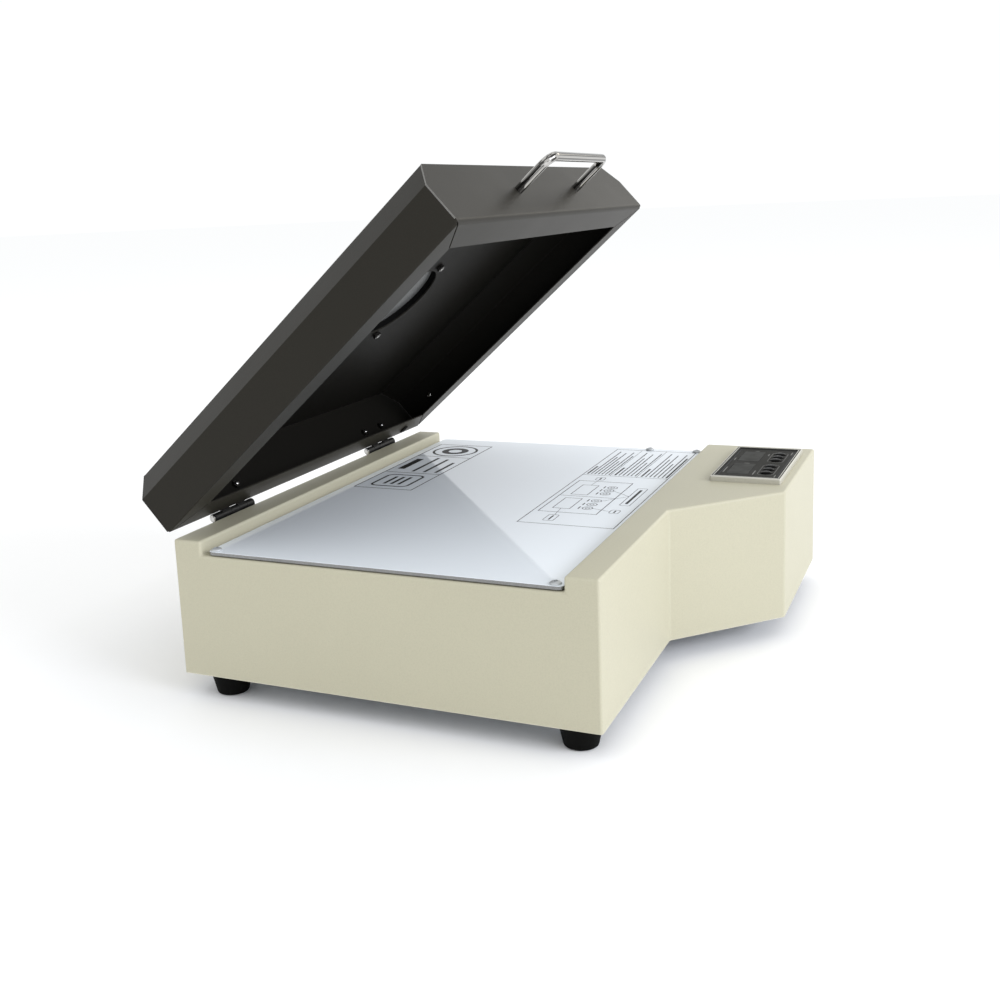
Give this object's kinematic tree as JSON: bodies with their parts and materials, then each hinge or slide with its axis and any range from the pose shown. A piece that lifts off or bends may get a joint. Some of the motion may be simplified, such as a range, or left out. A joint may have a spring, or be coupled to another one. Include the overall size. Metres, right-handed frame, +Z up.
{
  "type": "tabletop heat-drying press",
  "caption": "Tabletop heat-drying press: folded-steel base with heated platen and angled control box, and a hinged hood lid with handle and vent fan, shown open.",
  "frame": {"origin": "on the supporting surface, under the middle of the object's footprint with the lid open at its rest angle", "axes": "+Z up; +Y from the user's side towards the lid hinge; +X to the user's right, where the control box is"},
  "size_m": [0.472, 0.4938, 0.4411],
  "materials": {
    "beige_paint": "satin powder coat",
    "charcoal_paint": "fine-texture powder coat",
    "platen_face": "semi-gloss printed face",
    "stainless": "satin",
    "zinc_steel": "zinc plated",
    "foot_rubber": "matt",
    "heater_silicone": "matt",
    "insulation_wool": "fibrous",
    "black_plastic": "matt",
    "bezel_silver": "satin",
    "panel_grey": "satin",
    "display_window": "gloss, tinted",
    "key_black": "semi-gloss",
    "bare_aluminium": "brushed",
    "hinge_black": "satin black",
    "rocker_red": "semi-gloss"
  },
  "bodies": {
    "base": {"base_housing": "beige_paint", "bottom_cover": "zinc_steel", "foot_rear_left": "foot_rubber", "foot_rear_right": "foot_rubber", "foot_front_left": "foot_rubber", "foot_front_right": "foot_rubber", "platen": "platen_face", "platen_screw_1": "stainless", "platen_screw_2": "stainless", "platen_screw_3": "stainless", "platen_screw_4": "stainless", "heater_mat": "heater_silicone", "insulation_pad": "insulation_wool", "heat_shield_tray": "zinc_steel", "temperature_sensor": "stainless", "thermal_cutout": "black_plastic", "controller_bezel": "bezel_silver", "controller_face": "panel_grey", "controller_case": "black_plastic", "time_display": "display_window", "temperature_display": "display_window", "power_inlet": "black_plastic", "switch_frame": "black_plastic", "relay_heatsink": "bare_aluminium", "solid_state_relay": "black_plastic", "terminal_block": "panel_grey", "left_hinge_base_leaf": "hinge_black", "right_hinge_base_leaf": "hinge_black", "left_hinge_pin": "stainless", "right_hinge_pin": "stainless"},
    "lid": {"lid_shell": "charcoal_paint", "lid_front_cap": "charcoal_paint", "lid_rear_panel": "charcoal_paint", "cable_grommet": "foot_rubber", "handle": "stainless", "fan_frame": "black_plastic", "fan_baffle": "bare_aluminium", "fan_guard": "stainless", "fan_screw_1": "stainless", "fan_screw_2": "stainless", "fan_screw_3": "stainless", "left_hinge_lid_leaf": "hinge_black", "right_hinge_lid_leaf": "hinge_black", "left_hinge_screw_outer": "stainless", "left_hinge_screw_inner": "stainless", "right_hinge_screw_outer": "stainless", "right_hinge_screw_inner": "stainless"},
    "fan_rotor": {"fan_rotor": "black_plastic"},
    "switch_rocker": {"switch_rocker": "rocker_red"},
    "time_set_key": {"time_set_key": "key_black"},
    "time_down_key": {"time_down_key": "key_black"},
    "time_up_key": {"time_up_key": "key_black"},
    "temperature_set_key": {"temperature_set_key": "key_black"},
    "temperature_down_key": {"temperature_down_key": "key_black"},
    "temperature_up_key": {"temperature_up_key": "key_black"}
  },
  "joints": [
    {"name": "lid_hinge", "type": "hinge", "parent": "base", "child": "lid", "pos_m": [0, 0.21122, 0.1385], "axis": [-1, 0, 0], "range_deg": [-41.7, 48.3]},
    {"name": "fan_spin", "type": "hinge", "parent": "lid", "child": "fan_rotor", "pos_m": [0, 0.10303, 0.31351], "axis": [0, 0.6652, 0.7466], "continuous": true},
    {"name": "switch_rock", "type": "hinge", "parent": "base", "child": "switch_rocker", "pos_m": [0.118, 0.20477, 0.066], "axis": [1, 0, 0], "range_deg": [0, 18]},
    {"name": "time_set_press", "type": "slide", "parent": "base", "child": "time_set_key", "axis": [0, 0, -1], "range_m": [0, 0.0008], "stiffness_N_per_m": 400, "springref_m": -0.0005},
    {"name": "time_down_press", "type": "slide", "parent": "base", "child": "time_down_key", "axis": [0, 0, -1], "range_m": [0, 0.0008], "stiffness_N_per_m": 400, "springref_m": -0.0005},
    {"name": "time_up_press", "type": "slide", "parent": "base", "child": "time_up_key", "axis": [0, 0, -1], "range_m": [0, 0.0008], "stiffness_N_per_m": 400, "springref_m": -0.0005},
    {"name": "temperature_set_press", "type": "slide", "parent": "base", "child": "temperature_set_key", "axis": [0, 0, -1], "range_m": [0, 0.0008], "stiffness_N_per_m": 400, "springref_m": -0.0005},
    {"name": "temperature_down_press", "type": "slide", "parent": "base", "child": "temperature_down_key", "axis": [0, 0, -1], "range_m": [0, 0.0008], "stiffness_N_per_m": 400, "springref_m": -0.0005},
    {"name": "temperature_up_press", "type": "slide", "parent": "base", "child": "temperature_up_key", "axis": [0, 0, -1], "range_m": [0, 0.0008], "stiffness_N_per_m": 400, "springref_m": -0.0005}
  ]
}
